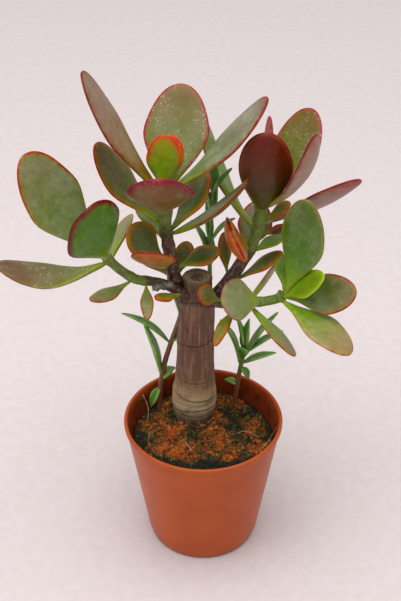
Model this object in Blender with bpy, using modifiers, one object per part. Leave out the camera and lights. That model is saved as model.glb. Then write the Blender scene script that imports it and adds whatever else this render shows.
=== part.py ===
"""A potted jade plant with a narrow-leaved companion, in a small nursery pot.

Metres, +Z up. The origin is the centre of the pot's base, on the surface that it stands on.
The plant's front faces -Y.
"""
import math

import bmesh
import bpy
from mathutils import Matrix, Vector

MM = 0.001
GAP = 0.3 * MM                      # clearance between two pieces that touch

# Pot: a thin moulded wall with a small lip, and drain holes in its flat floor
RIM_DIAMETER = 55 * MM
BASE_DIAMETER = 38.6 * MM
POT_HEIGHT = 50 * MM
POT_WALL = 0.9 * MM
POT_FLOOR = 1.2 * MM
LIP_HEIGHT = 1.8 * MM
LIP_PROUD = 0.6 * MM
EDGE_ROUND = 0.4 * MM
DRAIN_DIAMETER = 3 * MM
DRAIN_CIRCLE_DIAMETER = 24 * MM
DRAIN_COUNT = 4
POT_STEPS = 32

# Potting soil and the moss that grows over it
SOIL_BELOW_RIM = 11 * MM            # soil level at the wall
MOUND_HEIGHT = 4.5 * MM             # extra height of the soil round the trunk
MOUND_SPREAD = 11 * MM
MOSS_THICKNESS = 1.4 * MM
MOSS_BUMP = 0.35 * MM
MOSS_BUMP_LENGTH = 9 * MM
SOIL_RINGS = 5

# Trunk: an old, pruned stem, cut flat above the fork
TRUNK_CENTRE = Vector((-2.9 * MM, 10 * MM, 0))
TRUNK_HEIGHT = 57 * MM              # above the moss at its foot
TRUNK_BURIED = 12 * MM
TRUNK_FOOT_DIAMETER = 14.6 * MM
TRUNK_DIAMETER = 11.5 * MM
STUB_DIAMETER = 9.4 * MM
STUB_HEIGHT = 9 * MM
FOOT_HEIGHT = 11.5 * MM             # the pale, wider part above the moss
TRUNK_LEAN = math.radians(1.2)
TRUNK_STEPS = 16

# Green stems
STEM_BEVEL_RESOLUTION = 2
NARROW_STEM_BEVEL_RESOLUTION = 1

# Leaves
LEAF_SIDES = 8
LEAF_RINGS = 8
LEAF_THICKNESS = 1.1 * MM           # of a leaf of no width, and then this share of its width
LEAF_THICKNESS_PER_WIDTH = 0.12
LEAF_NECK = 0.3                     # width of the leaf's stalk as a share of its full width
LEAF_FULL_AT = 0.6                  # where along the leaf it reaches its full width
SPRIG_BURIED = 5 * MM               # of a narrow sprig's stem, below the soil's surface
NARROW_SIDES = 6
NARROW_RINGS = 5
NARROW_THICKNESS = 0.9 * MM

# Each green stem leaves the trunk's stub at an azimuth and a height above the collar, and then
# passes through offsets from where it starts. Azimuth 0 is +X and 90 is +Y. Millimetres, degrees.
BRANCHES = {
    "left_branch": {
        "azimuth": 178, "above_collar": 1.5, "diameters": (4.6, 3.6),
        "route": [(0, 0, 0), (-0.5, -1, 8), (-1.5, -1.5, 16), (-2.4, -2, 23), (-3, -2.5, 30),
                  (-3, -3, 37), (-3, -3, 41)],
    },
    "right_branch": {
        "azimuth": 0, "above_collar": 1.5, "diameters": (4.6, 3.6),
        "route": [(0, 0, 0), (3.5, 0.5, 6), (7, 1, 12), (10, 1.5, 18), (11.8, 2, 23), (12.6, 2, 28),
                  (13, 2, 33)],
    },
    "left_shoot": {
        "azimuth": 222, "above_collar": 4.5, "diameters": (3.4, 3.0),
        "route": [(0, 0, 0), (-5.5, 0, 4), (-10, -1, 6), (-15, -2, 7.5), (-20, -3, 12),
                  (-23.4, -4, 16.5), (-24, -4, 18)],
    },
    "right_shoot": {
        "azimuth": 318, "above_collar": 1.5, "diameters": (3.4, 3.0),
        "route": [(0, 0, 0), (7, -2, 1), (11.5, -3, 2), (15.5, -4, 3), (19.5, -5, 4.5),
                  (22.4, -6, 6.5)],
    },
}

# Jade leaves: name, stem, share of the stem's length, azimuth, rise, length, width, roll, arch, cup.
# Roll turns a leaf about its own length, and arch lifts its middle towards its upper face.
# Cup is how far its sides curl up, as a share of its half width. Degrees and millimetres.
LEAVES = [
    ("left_shoot_leaf_1", "left_shoot", 0.97, 182, 58, 41.5, 19.5, -52, -2, 0.10),
    ("left_shoot_leaf_2", "left_shoot", 0.93, 255, 60, 29, 21, 56, -2, 0.22),
    ("left_shoot_leaf_3", "left_shoot", 0.88, 182, 0, 34, 18, 6, -5, 0.10),
    ("left_shoot_leaf_4", "left_shoot", 0.92, 78, 8, 21, 12.5, -45, 0, 0.10),
    ("left_shoot_leaf_5", "left_shoot", 0.55, 224, 2, 16, 6.5, -8, -1, 0),
    ("left_shoot_leaf_6", "left_shoot", 0.44, 274, -16, 14.5, 4.4, 0, 1, 0),
    ("left_shoot_leaf_7", "left_shoot", 0.00, 228, 21, 10, 5, -10, 0, 0),

    ("left_branch_leaf_1", "left_branch", 0.97, 177, 61, 44, 19, -2, -2, 0.08),
    ("left_branch_leaf_2", "left_branch", 0.97, 13, 43, 39.5, 19, -8, -2, 0.08),
    ("left_branch_leaf_3", "left_branch", 0.86, 80, 42, 38, 21.5, 0, -2, 0.08),
    ("left_branch_leaf_4", "left_branch", 0.84, 267, 45, 27.5, 21, 3, -2, 0.15),
    ("left_branch_leaf_5", "left_branch", 0.62, 166, 52, 31, 17, -5, -2, 0.08),
    ("left_branch_leaf_6", "left_branch", 0.57, 347, 43, 32, 14, -5, -2, 0.08),
    ("left_branch_leaf_7", "left_branch", 0.58, 38, 47, 20.6, 14, -10, -1, 0.10),
    ("left_branch_leaf_8", "left_branch", 1.00, 270, 97, 18.5, 11, 0, 0, 0.10),
    ("left_branch_leaf_9", "left_branch", 1.00, 70, 68, 16.5, 10.4, 0, 0, 0.10),
    ("left_branch_leaf_10", "left_branch", 0.29, 175, 46, 14.6, 12.6, -38, -1, 0.10),
    ("left_branch_leaf_11", "left_branch", 0.26, 236, 44, 15.5, 16, 18, -1, 0.10),
    ("left_branch_leaf_12", "left_branch", 0.10, 62, 50, 11, 8, -5, 0, 0.05),
    ("left_branch_leaf_13", "left_branch", 0.26, 15, 18, 14, 9, 15, 0, 0.05),

    ("right_branch_leaf_1", "right_branch", 0.90, 290, 86, 27, 17.5, -15, -2, 0.15),
    ("right_branch_leaf_2", "right_branch", 0.97, 53, 42, 33, 18, -5, -2, 0.08),
    ("right_branch_leaf_3", "right_branch", 0.97, 335, 62, 32, 14, -12, -4, 0.08),
    ("right_branch_leaf_4", "right_branch", 0.80, 83, 31, 38, 10, -65, -1, 0.08),
    ("right_branch_leaf_5", "right_branch", 0.70, 119, 37, 41.5, 14, 42, -3, 0.08),
    ("right_branch_leaf_6", "right_branch", 0.80, 12, 20, 33, 14, -55, -1, 0.08),
    ("right_branch_leaf_7", "right_branch", 0.80, 356, 40, 9, 7, 10, 0, 0.10),
    ("right_branch_leaf_8", "right_branch", 0.68, 348, 24, 9.5, 6, -60, 0, 0.05),
    ("right_branch_leaf_9", "right_branch", 0.48, 31, 10, 12, 8, -10, 0, 0.05),
    ("right_branch_leaf_10", "right_branch", 0.50, 243, 50, 15.5, 17, -48, -1, 0.10),
    ("right_branch_leaf_11", "right_branch", 0.15, 95, 40, 14, 5, 15, -1, 0.05),
    ("right_branch_leaf_12", "right_branch", 0.10, 12, 29, 16, 8, 0, 0, 0.05),

    ("right_shoot_leaf_1", "right_shoot", 0.98, 350, 80, 34.5, 16.5, 62, -2, 0.08),
    ("right_shoot_leaf_2", "right_shoot", 0.98, 346, 14, 22.5, 14, 41, -1, 0.10),
    ("right_shoot_leaf_3", "right_shoot", 0.93, 319, -16, 27.5, 14, 0, 1, 0.05),
    ("right_shoot_leaf_4", "right_shoot", 1.00, 70, 62, 12, 9, 0, 0, 0.10),
    ("right_shoot_leaf_5", "right_shoot", 1.00, 331, 43, 17.5, 9.4, 38, 0, 0.12),
    ("right_shoot_leaf_6", "right_shoot", 0.72, 208, 21, 14.5, 14, -55, 0, 0.05),
    ("right_shoot_leaf_7", "right_shoot", 0.48, 321, -32, 20.5, 11.5, -28, 0, 0.05),
    ("right_shoot_leaf_8", "right_shoot", 0.50, 57, 15, 17.5, 10, -65, 0, 0.05),
    ("right_shoot_leaf_9", "right_shoot", 0.16, 205, 38, 9.5, 8, -50, 0, 0.05),
    ("right_shoot_leaf_10", "right_shoot", 0.40, 232, -34, 14.5, 4.6, 0, 2, 0),

    ("back_leaf_1", "left_branch", 0.45, 110, 30, 24, 13, 0, -2, 0.08),
    ("back_leaf_2", "right_branch", 0.45, 76, 18, 22, 12, 0, -2, 0.08),
    ("back_leaf_3", "left_branch", 0.15, 140, 20, 14, 8, 0, 0, 0.05),
]

# The companion plant's sprigs. Each foot is an azimuth and a distance, either in from the pot's inner
# wall or out from the trunk's centre, and each thin stem passes through offsets from there. Narrow
# leaves: share of the stem's length, azimuth, rise, length and width. Millimetres, degrees.
SPRIGS = {
    "narrow_sprig_left": {
        "azimuth": 136.8, "from_wall": 2.6, "diameters": (1.8, 1.2),
        "route": [(0, 0, 0), (0.8, 0.5, 10), (2.2, 1, 19), (4.4, 2, 27), (7.3, 3, 36),
                  (10, 4, 45)],
        "leaves": [
            (0.66, 180, 38, 21, 2.4), (0.39, 174, 76, 23, 3.2), (0.36, 20, 40, 6.5, 3.2),
            (0.66, 20, 30, 5, 2.2), (0.28, 215, -60, 9, 2.6), (0.85, 200, 30, 9, 2.2),
        ],
    },
    "narrow_sprig_back": {
        "azimuth": 59.5, "from_trunk": 11.6, "diameters": (2, 1.3),
        "route": [(0, 0, 0), (0, 2, 19), (-0.5, 3.5, 39), (-0.8, 3.5, 57), (-0.5, 2.2, 71),
                  (0, 1.5, 88)],
        "leaves": [
            (0.65, 165, 70, 17, 2.6), (0.64, 90, 82, 15, 2.8), (0.76, 345, 52, 13, 2.2),
            (0.73, 120, 80, 16, 2.4), (0.84, 60, 74, 14, 2.4), (0.86, 170, 75, 13, 2.6),
            (0.96, 90, 84, 14, 3.0), (0.96, 330, 58, 13, 2.4),
        ],
    },
    "narrow_sprig_right": {
        "azimuth": 57.4, "from_wall": 3.2, "diameters": (1.8, 1.2),
        "route": [(0, 0, 0), (0.6, -1, 8), (1.2, -1, 14), (2.4, -1, 22), (2.8, -1, 26)],
        "leaves": [
            (0.78, 180, 70, 20.5, 2.8), (0.86, 250, 65, 7.5, 3.4), (0.94, 60, 75, 13, 2.4),
            (0.86, 0, 60, 23, 3.0), (0.76, 0, 22, 13, 2.6), (0.72, 330, -50, 5.5, 2.2),
            (0.50, 170, 20, 5, 2), (0.92, 0, 38, 17, 2.4), (0.97, 170, 80, 15, 2.2),
        ],
    },
}

RIM_RADIUS = RIM_DIAMETER / 2
BASE_RADIUS = BASE_DIAMETER / 2
SOIL_Z = POT_HEIGHT - SOIL_BELOW_RIM
COLLAR_Z = SOIL_Z + MOUND_HEIGHT + GAP + MOSS_THICKNESS + TRUNK_HEIGHT - STUB_HEIGHT

POT_COLOUR = (0.48, 0.12, 0.045, 1)
SOIL_COLOUR = (0.05, 0.03, 0.02, 1)
MOSS_COLOUR = (0.20, 0.10, 0.02, 1)
BARK_COLOUR = (0.20, 0.13, 0.10, 1)
STEM_COLOUR = (0.13, 0.14, 0.03, 1)
LEAF_COLOUR = (0.12, 0.20, 0.05, 1)
NARROW_COLOUR = (0.06, 0.22, 0.04, 1)


def make_material(name, colour, roughness):
    material = bpy.data.materials.new(name)
    material.use_nodes = True
    shader = material.node_tree.nodes["Principled BSDF"]
    shader.inputs["Base Color"].default_value = colour
    shader.inputs["Roughness"].default_value = roughness
    shader.inputs["Metallic"].default_value = 0
    material.diffuse_color = colour
    return material


def make_collection(name):
    collection = bpy.data.collections.new(name)
    bpy.context.scene.collection.children.link(collection)
    return collection


def add_object(name, data, collection, material=None):
    obj = bpy.data.objects.new(name, data)
    if material:
        data.materials.append(material)
    collection.objects.link(obj)
    return obj


def hide_as_cutter(obj):
    obj.hide_render = True
    obj.display_type = "WIRE"


def add_boolean(obj, operation, cutter=None, cutters=None):
    modifier = obj.modifiers.new(operation.title(), "BOOLEAN")
    modifier.operation = operation
    if cutters:
        modifier.operand_type = "COLLECTION"
        modifier.collection = cutters
    else:
        modifier.object = cutter


def mesh_from_bmesh(name, bm):
    mesh = bpy.data.meshes.new(name)
    bm.to_mesh(mesh)
    bm.free()
    return mesh


def evaluated_mesh(obj):
    """The object's shape with its modifiers applied, as a new mesh, welded and closed."""
    evaluated = obj.evaluated_get(bpy.context.evaluated_depsgraph_get())
    mesh = bpy.data.meshes.new_from_object(evaluated)
    bm = bmesh.new()
    bm.from_mesh(mesh)
    bmesh.ops.remove_doubles(bm, verts=bm.verts, dist=0.005 * MM)
    bm.to_mesh(mesh)
    bm.free()
    return mesh


def turned(name, profile, steps, collection, material):
    """A solid of revolution about Z from (radius, height) points that run down its outer side."""
    mesh = bpy.data.meshes.new(name)
    points = [(radius, 0, height) for radius, height in profile]
    edges = [(i, i + 1) for i in range(len(points) - 1)]
    mesh.from_pydata(points, edges, [])
    obj = add_object(name, mesh, collection, material)
    screw = obj.modifiers.new("Turn", "SCREW")
    screw.steps = screw.render_steps = steps
    screw.use_merge_vertices = True
    screw.merge_threshold = 0.01 * MM
    return obj


def replace_mesh(obj, mesh):
    obj.modifiers.clear()
    obj.data = mesh


def add_cylinder_cutter(name, radius, bottom, top, centre, collection, sides=24):
    bm = bmesh.new()
    bmesh.ops.create_cone(bm, cap_ends=True, segments=sides, radius1=radius, radius2=radius,
                          depth=top - bottom)
    obj = add_object(name, mesh_from_bmesh(name, bm), collection)
    obj.location = (centre[0], centre[1], (top + bottom) / 2)
    hide_as_cutter(obj)
    return obj


def outer_wall_radius(z):
    """Radius of the pot's outer wall, which tapers evenly from the base to under the lip."""
    share = z / (POT_HEIGHT - LIP_HEIGHT)
    return BASE_RADIUS + (RIM_RADIUS - LIP_PROUD - BASE_RADIUS) * share


def inner_wall_radius(z):
    return outer_wall_radius(z) - POT_WALL


def mound(x, y):
    """How far the soil rises above its level at the wall: a low mound round the trunk."""
    distance = math.hypot(x - TRUNK_CENTRE.x, y - TRUNK_CENTRE.y)
    return MOUND_HEIGHT * math.exp(-(distance / MOUND_SPREAD) ** 2)


def polar(azimuth, rise=0):
    azimuth, rise = math.radians(azimuth), math.radians(rise)
    return Vector((math.cos(rise) * math.cos(azimuth), math.cos(rise) * math.sin(azimuth),
                   math.sin(rise)))


def sprig_foot(sprig):
    """Where a sprig leaves the soil, seen from above."""
    outward = polar(sprig["azimuth"])
    if "from_trunk" in sprig:
        return TRUNK_CENTRE + outward * sprig["from_trunk"] * MM
    return outward * (inner_wall_radius(SOIL_Z) - sprig["from_wall"] * MM)


def moss_bump(x, y):
    turn = math.tau / MOSS_BUMP_LENGTH
    return MOSS_BUMP * math.sin(turn * (x + 0.3 * y)) * math.sin(turn * (y - 0.2 * x))


def make_pot(collection, cutters):
    inner_floor = inner_wall_radius(POT_FLOOR)
    inner_rim = inner_wall_radius(POT_HEIGHT)
    lip_bottom = POT_HEIGHT - LIP_HEIGHT
    profile = [
        (0, POT_FLOOR),
        (inner_floor, POT_FLOOR),
        (inner_rim, POT_HEIGHT - EDGE_ROUND),
        (inner_rim + EDGE_ROUND, POT_HEIGHT),
        (RIM_RADIUS - EDGE_ROUND, POT_HEIGHT),
        (RIM_RADIUS, POT_HEIGHT - EDGE_ROUND),
        (RIM_RADIUS, lip_bottom),
        (outer_wall_radius(lip_bottom - EDGE_ROUND), lip_bottom - EDGE_ROUND),
        (BASE_RADIUS, 2 * EDGE_ROUND),
        (BASE_RADIUS - 2 * EDGE_ROUND, 0),
        (0, 0),
    ]
    material = make_material("terracotta plastic", POT_COLOUR, 0.45)
    pot = turned("pot", profile, POT_STEPS, collection, material)
    for index in range(DRAIN_COUNT):
        angle = math.tau * (index + 0.5) / DRAIN_COUNT
        centre = Vector((math.cos(angle), math.sin(angle))) * DRAIN_CIRCLE_DIAMETER / 2
        cutter = add_cylinder_cutter(f"drain_cutter_{index}", DRAIN_DIAMETER / 2, -POT_FLOOR,
                                     2 * POT_FLOOR, centre, cutters, sides=12)
        add_boolean(pot, "DIFFERENCE", cutter)


def make_holes(cutters):
    """Cutters for the holes that the trunk and the sprigs stand in, in the soil and the moss."""
    above = POT_HEIGHT + MOUND_HEIGHT
    holes = [add_cylinder_cutter("trunk_hole", TRUNK_FOOT_DIAMETER / 2 + GAP, SOIL_Z - TRUNK_BURIED,
                                 above, TRUNK_CENTRE, cutters)]
    for name, sprig in SPRIGS.items():
        foot = sprig_foot(sprig)
        radius = sprig["diameters"][0] / 2 * MM + GAP
        bottom = SOIL_Z + mound(foot.x, foot.y) - SPRIG_BURIED - GAP
        holes.append(add_cylinder_cutter(name + "_hole", radius, bottom, above, foot, cutters, sides=12))
    return holes


def make_soil(collection, holes):
    bottom = POT_FLOOR + GAP
    edge = inner_wall_radius(SOIL_Z) - GAP
    rings = [(edge * i / SOIL_RINGS, SOIL_Z) for i in range(SOIL_RINGS + 1)]
    profile = rings + [(inner_wall_radius(bottom) - GAP, bottom), (0, bottom)]
    soil = turned("soil", profile, POT_STEPS, collection, make_material("potting soil", SOIL_COLOUR, 0.95))
    mesh = evaluated_mesh(soil)
    for vertex in mesh.vertices:
        if vertex.co.z > SOIL_Z - GAP:
            vertex.co.z += mound(vertex.co.x, vertex.co.y)
    replace_mesh(soil, mesh)
    for hole in holes:
        add_boolean(soil, "DIFFERENCE", hole)


def make_moss(collection, holes):
    under = SOIL_Z + GAP
    over = under + MOSS_THICKNESS
    edge = inner_wall_radius(under) - 2 * GAP
    top = [(edge * i / SOIL_RINGS, over) for i in range(SOIL_RINGS)]
    bottom = [(edge * i / SOIL_RINGS, under) for i in reversed(range(SOIL_RINGS))]
    profile = top + [(edge - MOSS_THICKNESS / 4, over), (edge, under)] + bottom
    moss = turned("moss", profile, POT_STEPS, collection, make_material("moss", MOSS_COLOUR, 0.95))
    mesh = evaluated_mesh(moss)
    for vertex in mesh.vertices:
        x, y, z = vertex.co
        vertex.co.z += mound(x, y)
        if z > over - GAP:
            vertex.co.z += moss_bump(x, y)
    replace_mesh(moss, mesh)
    for hole in holes:
        add_boolean(moss, "DIFFERENCE", hole)


def make_trunk(collection):
    foot = TRUNK_FOOT_DIAMETER / 2
    body = TRUNK_DIAMETER / 2
    stub = STUB_DIAMETER / 2
    ground = COLLAR_Z + STUB_HEIGHT - TRUNK_HEIGHT
    top = ground + TRUNK_HEIGHT
    profile = [
        (0, top - 0.6 * MM),
        (stub - 1.2 * MM, top),
        (stub - 0.5 * MM, top),
        (stub, top - 0.8 * MM),
        (stub, COLLAR_Z + 0.8 * MM),
        (body, COLLAR_Z - 0.4 * MM),
        (body, COLLAR_Z - 8 * MM),
        (body + 0.2 * MM, ground + TRUNK_HEIGHT / 2),
        (body + 0.5 * MM, ground + FOOT_HEIGHT + 1 * MM),
        (foot - 0.5 * MM, ground + FOOT_HEIGHT - 1 * MM),
        (foot, ground + 2 * MM),
        (foot, ground - 1 * MM),
        (foot - 2 * MM, SOIL_Z - TRUNK_BURIED + GAP),
        (0, SOIL_Z - TRUNK_BURIED + GAP),
    ]
    material = make_material("bark", BARK_COLOUR, 0.8)
    trunk = turned("trunk", [(r, z - ground) for r, z in profile], TRUNK_STEPS, collection, material)
    trunk.location = (TRUNK_CENTRE.x, TRUNK_CENTRE.y, ground)
    trunk.rotation_euler = (0, TRUNK_LEAN, 0)


def route_lengths(points):
    lengths = [0]
    for before, after in zip(points, points[1:]):
        lengths.append(lengths[-1] + (after - before).length)
    return lengths


def along_stem(stem, share):
    """Point, direction and radius at a share of a stem's length, and the length left beyond it."""
    points, radii = stem["points"], stem["radii"]
    lengths = route_lengths(points)
    place = share * lengths[-1]
    last = len(points) - 2
    index = min(last, max(i for i, length in enumerate(lengths) if length <= place))
    step = (place - lengths[index]) / (lengths[index + 1] - lengths[index])
    point = points[index].lerp(points[index + 1], step)
    direction = (points[index + 1] - points[index]).normalized()
    radius = radii[0] + (radii[1] - radii[0]) * share
    return point, direction, radius, lengths[-1] - place


def stem_curve(name, stem, resolution, collection, material):
    curve = bpy.data.curves.new(name, "CURVE")
    curve.dimensions = "3D"
    curve.bevel_depth = stem["radii"][0]
    curve.bevel_resolution = resolution
    curve.use_fill_caps = True
    spline = curve.splines.new("POLY")
    spline.points.add(len(stem["points"]) - 1)
    lengths = route_lengths(stem["points"])
    taper = stem["radii"][1] / stem["radii"][0] - 1
    for point, place, length in zip(spline.points, stem["points"], lengths):
        point.co = (*place, 1)
        point.radius = 1 + taper * length / lengths[-1]
    return add_object(name, curve, collection, material)


def make_branches(collection, material):
    """The four green stems, each started a clearance outside the trunk's stub."""
    stems = {}
    axis_top = TRUNK_CENTRE + Vector((math.tan(TRUNK_LEAN) * (TRUNK_HEIGHT - STUB_HEIGHT), 0, 0))
    for name, branch in BRANCHES.items():
        radii = [diameter / 2 * MM for diameter in branch["diameters"]]
        outward = polar(branch["azimuth"]) * (STUB_DIAMETER / 2 + GAP + radii[0])
        start = axis_top + outward + Vector((0, 0, COLLAR_Z + branch["above_collar"] * MM))
        stem = {"points": [start + Vector(offset) * MM for offset in branch["route"]], "radii": radii}
        stem_curve(name, stem, STEM_BEVEL_RESOLUTION, collection, material)
        stems[name] = stem
    return stems


def blade_width(along):
    """A leaf's width at a share of its length: a narrow stalk that opens to a broad blade."""
    open_share = min(1, along / LEAF_FULL_AT)
    opening = open_share * open_share * (3 - 2 * open_share)
    return LEAF_NECK + (1 - LEAF_NECK) * opening


def leaf_mesh(name, length, width, thickness, arch=0, cup=0, sides=LEAF_SIDES, rings=LEAF_RINGS):
    """A sphere drawn out along +X into a leaf: one pole is its foot, at the origin, one its tip.

    Its upper face is +Z.
    """
    bm = bmesh.new()
    bmesh.ops.create_uvsphere(bm, u_segments=sides, v_segments=rings, radius=1)
    for vertex in bm.verts:
        x, y, z = vertex.co
        along = (1 + z) / 2
        ring = math.sqrt(max(0, 1 - z * z))
        across, up = (x / ring, y / ring) if ring > 0.01 else (0, 0)
        half_width = width / 2 * ring * blade_width(along)
        half_thickness = thickness / 2 * ring ** 0.6
        lift = arch * 4 * along * (1 - along) + cup * across * across * half_width
        vertex.co = (length * along, across * half_width, up * half_thickness + lift)
    mesh = mesh_from_bmesh(name, bm)
    mesh.shade_smooth()
    return mesh


def leaf_axes(azimuth, rise, roll):
    """A leaf's turn: X along it, Z out of its upper face, turned about X by its roll."""
    along = polar(azimuth, rise)
    side = polar(azimuth + 90)
    upper = along.cross(side)
    turn = Matrix((along, side, upper)).transposed()
    return turn.to_4x4() @ Matrix.Rotation(math.radians(roll), 4, "X")


def leaf_start(stem, share, azimuth, rise, neck):
    """Where a leaf's foot sits: clear of the stem's side, or of its end if that comes first."""
    point, direction, radius, beyond = along_stem(stem, share)
    along = polar(azimuth, rise)
    cosine = along.dot(direction)
    sine = math.sqrt(max(1e-6, 1 - cosine * cosine))
    past_side = (radius + GAP + neck * abs(cosine)) / sine
    if cosine <= 0:
        return point + along * past_side
    past_end = (beyond + GAP + neck * sine) / cosine
    if past_side <= past_end:
        return point + along * past_side
    return point + along * past_end + polar(azimuth) * (neck + GAP / 2)


def make_leaves(stems, collection, material):
    for name, stem, share, azimuth, rise, length, width, roll, arch, cup in LEAVES:
        thickness = LEAF_THICKNESS + LEAF_THICKNESS_PER_WIDTH * width * MM
        mesh = leaf_mesh(name, length * MM, width * MM, thickness, arch * MM, cup)
        leaf = add_object(name, mesh, collection, material)
        start = leaf_start(stems[stem], share, azimuth, rise, thickness / 3)
        leaf.matrix_world = Matrix.Translation(start) @ leaf_axes(azimuth, rise, roll)


def make_sprig(name, sprig, collection, material):
    """One thin stem with its narrow leaves, joined into one solid."""
    foot = sprig_foot(sprig)
    ground = Vector((foot.x, foot.y, SOIL_Z + mound(foot.x, foot.y)))
    points = [ground - Vector((0, 0, SPRIG_BURIED))]
    points += [ground + Vector(offset) * MM + Vector((0, 0, MOSS_THICKNESS)) for offset in sprig["route"]]
    stem = {"points": points, "radii": [diameter / 2 * MM for diameter in sprig["diameters"]]}
    curve = stem_curve(name + "_stem", stem, NARROW_STEM_BEVEL_RESOLUTION, collection, material)
    obj = add_object(name, evaluated_mesh(curve), collection, material)
    bpy.data.objects.remove(curve)
    leaves = make_collection(name + "_leaves")
    for index, (share, azimuth, rise, length, width) in enumerate(sprig["leaves"]):
        leaf_name = f"{name}_leaf_{index}"
        mesh = leaf_mesh(leaf_name, length * MM, width * MM, NARROW_THICKNESS,
                         sides=NARROW_SIDES, rings=NARROW_RINGS)
        leaf = add_object(leaf_name, mesh, leaves)
        point = along_stem(stem, share)[0]
        leaf.matrix_world = Matrix.Translation(point) @ leaf_axes(azimuth, rise, 0)
        hide_as_cutter(leaf)
    add_boolean(obj, "UNION", cutters=leaves)


def main():
    for obj in list(bpy.data.objects):
        bpy.data.objects.remove(obj)
    plant = make_collection("potted_jade_plant")
    cutters = make_collection("cutters")
    make_pot(plant, cutters)
    holes = make_holes(cutters)
    make_soil(plant, holes)
    make_moss(plant, holes)
    make_trunk(plant)
    stems = make_branches(plant, make_material("green stem", STEM_COLOUR, 0.6))
    make_leaves(stems, plant, make_material("jade leaf", LEAF_COLOUR, 0.35))
    narrow = make_material("narrow leaf", NARROW_COLOUR, 0.5)
    for name, sprig in SPRIGS.items():
        make_sprig(name, sprig, plant, narrow)


main()
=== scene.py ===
"""Looks of the potted jade plant: leaves, stems, trunk, moss and pot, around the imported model."""
import math
import random
from functools import partial

import bpy
import numpy as np
from mathutils import Matrix, Vector, noise
from mathutils.kdtree import KDTree


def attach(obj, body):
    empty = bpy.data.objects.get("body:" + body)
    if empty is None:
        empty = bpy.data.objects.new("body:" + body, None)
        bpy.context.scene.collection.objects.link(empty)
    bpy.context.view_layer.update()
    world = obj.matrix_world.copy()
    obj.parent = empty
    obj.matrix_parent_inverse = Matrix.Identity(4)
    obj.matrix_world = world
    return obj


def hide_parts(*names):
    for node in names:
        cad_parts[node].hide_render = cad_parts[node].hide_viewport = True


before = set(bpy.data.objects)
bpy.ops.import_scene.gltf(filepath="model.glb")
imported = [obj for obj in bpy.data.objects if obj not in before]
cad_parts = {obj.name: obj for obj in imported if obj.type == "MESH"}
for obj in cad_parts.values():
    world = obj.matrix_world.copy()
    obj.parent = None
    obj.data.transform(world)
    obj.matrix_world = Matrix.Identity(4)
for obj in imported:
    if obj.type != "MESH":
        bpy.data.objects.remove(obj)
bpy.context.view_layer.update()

MM = 0.001

# Sizes shared with the CAD model
RIM_RADIUS = 27.5 * MM
BASE_RADIUS = 19.3 * MM
POT_HEIGHT = 50 * MM
POT_WALL = 0.9 * MM
POT_FLOOR = 1.2 * MM
LIP_HEIGHT = 1.8 * MM
LIP_PROUD = 0.6 * MM
DRAIN_RADIUS = 1.5 * MM
DRAIN_CIRCLE_RADIUS = 12 * MM
DRAIN_COUNT = 4
ROUND_STEPS = 128                   # faces round the pot
SOIL_Z = 39 * MM
MOSS_Z = 40.7 * MM                  # top of the moss at the wall
MOUND_HEIGHT = 4.5 * MM
MOUND_SPREAD = 11 * MM
TRUNK_CENTRE = Vector((-2.9, 10, 0)) * MM
TRUNK_LEAN = math.radians(1.2)
TRUNK_TOP = 102.2 * MM
TRUNK_BOTTOM = 27.4 * MM
TRUNK_DRAWN_LEFT = 0.3 * MM         # the bark stands this far left of the CAD solid
GROUND_Z = 45.2 * MM                # moss level at the trunk
ROUTE_STEPS = 12                    # points between two of a stem's own
BLADE_NECK = 0.3                    # a jade leaf's width at its stalk, as a share of its full width
BLADE_FULL_AT = 0.6                 # where along its length it is widest
TUFT_COUNT = 9000
TUFTS_START = 6.6 * MM              # from the trunk's middle
NARROW_LEAF_FULLNESS = 1.35         # drawn this much wider than the flat CAD leaves

# The four green stems, in millimetres: where each starts, and the offsets that it passes through
STEMS = {
    "left_branch": {
        "start": (-9.2, 10.3, 94.7), "diameters": (4.6, 3.6), "woody": 0.62,
        "route": [(0, 0, 0), (-0.5, -1, 8), (-1.5, -1.5, 16), (-2.4, -2, 23), (-3, -2.5, 30),
                  (-3, -3, 37), (-3, -3, 41)],
    },
    "right_branch": {
        "start": (5.4, 10, 94.7), "diameters": (4.6, 3.6), "woody": 0.55,
        "route": [(0, 0, 0), (3.5, 0.5, 6), (7, 1, 12), (10, 1.5, 18), (11.8, 2, 23), (12.6, 2, 28),
                  (13, 2, 33)],
    },
    "left_shoot": {
        "start": (-6.9, 5.5, 97.7), "diameters": (3.4, 3.0), "woody": 0.42,
        "route": [(0, 0, 0), (-5.5, 0, 4), (-10, -1, 6), (-15, -2, 7.5), (-20, -3, 12),
                  (-23.4, -4, 16.5), (-24, -4, 18)],
    },
    "right_shoot": {
        "start": (3.1, 5.5, 94.7), "diameters": (3.4, 3.0), "woody": 0.3,
        "route": [(0, 0, 0), (7, -2, 1), (11.5, -3, 2), (15.5, -4, 3), (19.5, -5, 4.5),
                  (22.4, -6, 6.5)],
    },
}

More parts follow.
